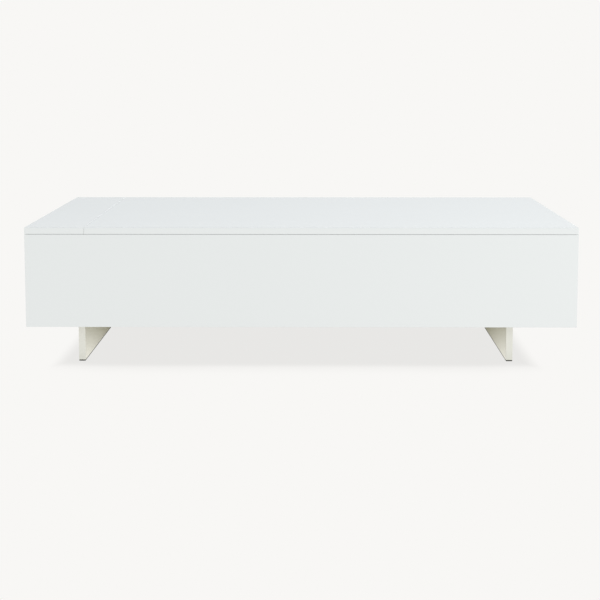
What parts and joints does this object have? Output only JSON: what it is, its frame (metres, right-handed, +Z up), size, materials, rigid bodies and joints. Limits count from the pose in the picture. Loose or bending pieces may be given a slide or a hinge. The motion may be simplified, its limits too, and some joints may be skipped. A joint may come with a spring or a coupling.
{
  "type": "lift top coffee table",
  "caption": "White lift top coffee table: a long box carcass on slab legs, a fixed strip of top at the left and a level-rising lid over a storage compartment.",
  "frame": {"origin": "on the floor, under the middle of the table", "axes": "+X to the right of a person facing the front, +Y from the front to the back, +Z up"},
  "size_m": [1.3, 0.65, 0.333],
  "materials": {
    "white_lacquer": "high-gloss lacquered fibreboard",
    "leg_lacquer": "gloss lacquered fibreboard",
    "white_melamine": "satin melamine-faced board",
    "softwood_batten": "planed softwood",
    "beech_dowel": "fluted beech",
    "glide_plastic": "matt dark grey",
    "bumper_rubber": "matt translucent grey",
    "bracket_steel": "fine satin powder coat",
    "zinc_steel": "bright zinc plate",
    "strut_black": "satin black paint",
    "polished_rod": "polished",
    "nylon": "natural nylon",
    "brass_insert": "machined"
  },
  "bodies": {
    "carcass": {"front_panel": "white_lacquer", "back_panel": "white_lacquer", "left_end_panel": "white_lacquer", "right_end_panel": "white_lacquer", "partition_panel": "white_melamine", "bottom_panel": "white_melamine", "front_strip_rail": "softwood_batten", "back_strip_rail": "softwood_batten", "fixed_top_strip": "white_lacquer", "left_leg_panel": "leg_lacquer", "right_leg_panel": "leg_lacquer", "left_leg_glide": "glide_plastic", "right_leg_glide": "glide_plastic", "lid_bumpers": "bumper_rubber", "left_base_bracket": "bracket_steel", "right_base_bracket": "bracket_steel", "base_bracket_screws": "zinc_steel", "base_pivot_rivets": "zinc_steel", "base_pivot_washers": "nylon", "strut_foot_studs": "zinc_steel", "strut_foot_clips": "zinc_steel", "cam_locks": "zinc_steel", "cam_bolts": "zinc_steel", "carcass_dowels": "beech_dowel", "leg_dowels": "beech_dowel", "leg_bolts": "zinc_steel", "leg_inserts": "brass_insert", "glide_screws": "zinc_steel", "strip_screws": "zinc_steel", "rail_screws": "zinc_steel"},
    "front_arms": {"left_front_arm": "bracket_steel", "right_front_arm": "bracket_steel", "strut_arm_studs": "zinc_steel", "strut_arm_clips": "zinc_steel"},
    "rear_arms": {"left_rear_arm": "bracket_steel", "right_rear_arm": "bracket_steel"},
    "lid": {"lid_panel": "white_lacquer", "left_top_bracket": "bracket_steel", "right_top_bracket": "bracket_steel", "top_bracket_screws": "zinc_steel", "lid_pivot_rivets": "zinc_steel", "lid_pivot_washers": "nylon"},
    "gas_cylinders": {"left_gas_cylinder": "strut_black", "left_cylinder_eye": "zinc_steel", "left_rod_guide": "nylon", "right_gas_cylinder": "strut_black", "right_cylinder_eye": "zinc_steel", "right_rod_guide": "nylon"},
    "gas_rods": {"left_gas_rod": "polished_rod", "left_rod_eye": "zinc_steel", "left_piston": "nylon", "right_gas_rod": "polished_rod", "right_rod_eye": "zinc_steel", "right_piston": "nylon"}
  },
  "joints": [
    {"name": "lid_lift", "type": "hinge", "parent": "carcass", "child": "front_arms", "pos_m": [0, -0.2, 0.26], "axis": [1, 0, 0], "range_deg": [0, 100], "stiffness_Nm_per_rad": 8, "springref_deg": 100},
    {"name": "rear_arm_pivot", "type": "hinge", "parent": "carcass", "child": "rear_arms", "pos_m": [0, -0.133, 0.216], "axis": [1, 0, 0], "range_deg": [0, 100]},
    {"name": "lid_level_pivot", "type": "hinge", "parent": "front_arms", "child": "lid", "pos_m": [0, 0.02776, 0.29201], "axis": [1, 0, 0], "range_deg": [-100, 0]},
    {"name": "strut_foot_pivot", "type": "hinge", "parent": "carcass", "child": "gas_cylinders", "pos_m": [0, -0.1691, 0.16489], "axis": [1, 0, 0], "range_deg": [0, 50]},
    {"name": "strut_head_pivot", "type": "hinge", "parent": "front_arms", "child": "gas_rods", "pos_m": [0, -0.10097, 0.27392], "axis": [1, 0, 0], "range_deg": [-50, 0]}
  ],
  "couplings": [
    {"joint": "rear_arm_pivot", "follows": "lid_lift", "ratio": 1},
    {"joint": "lid_level_pivot", "follows": "lid_lift", "ratio": -1},
    {"joint": "strut_foot_pivot", "follows": "lid_lift", "ratio": 0.5},
    {"joint": "strut_head_pivot", "follows": "lid_lift", "ratio": -0.5}
  ]
}
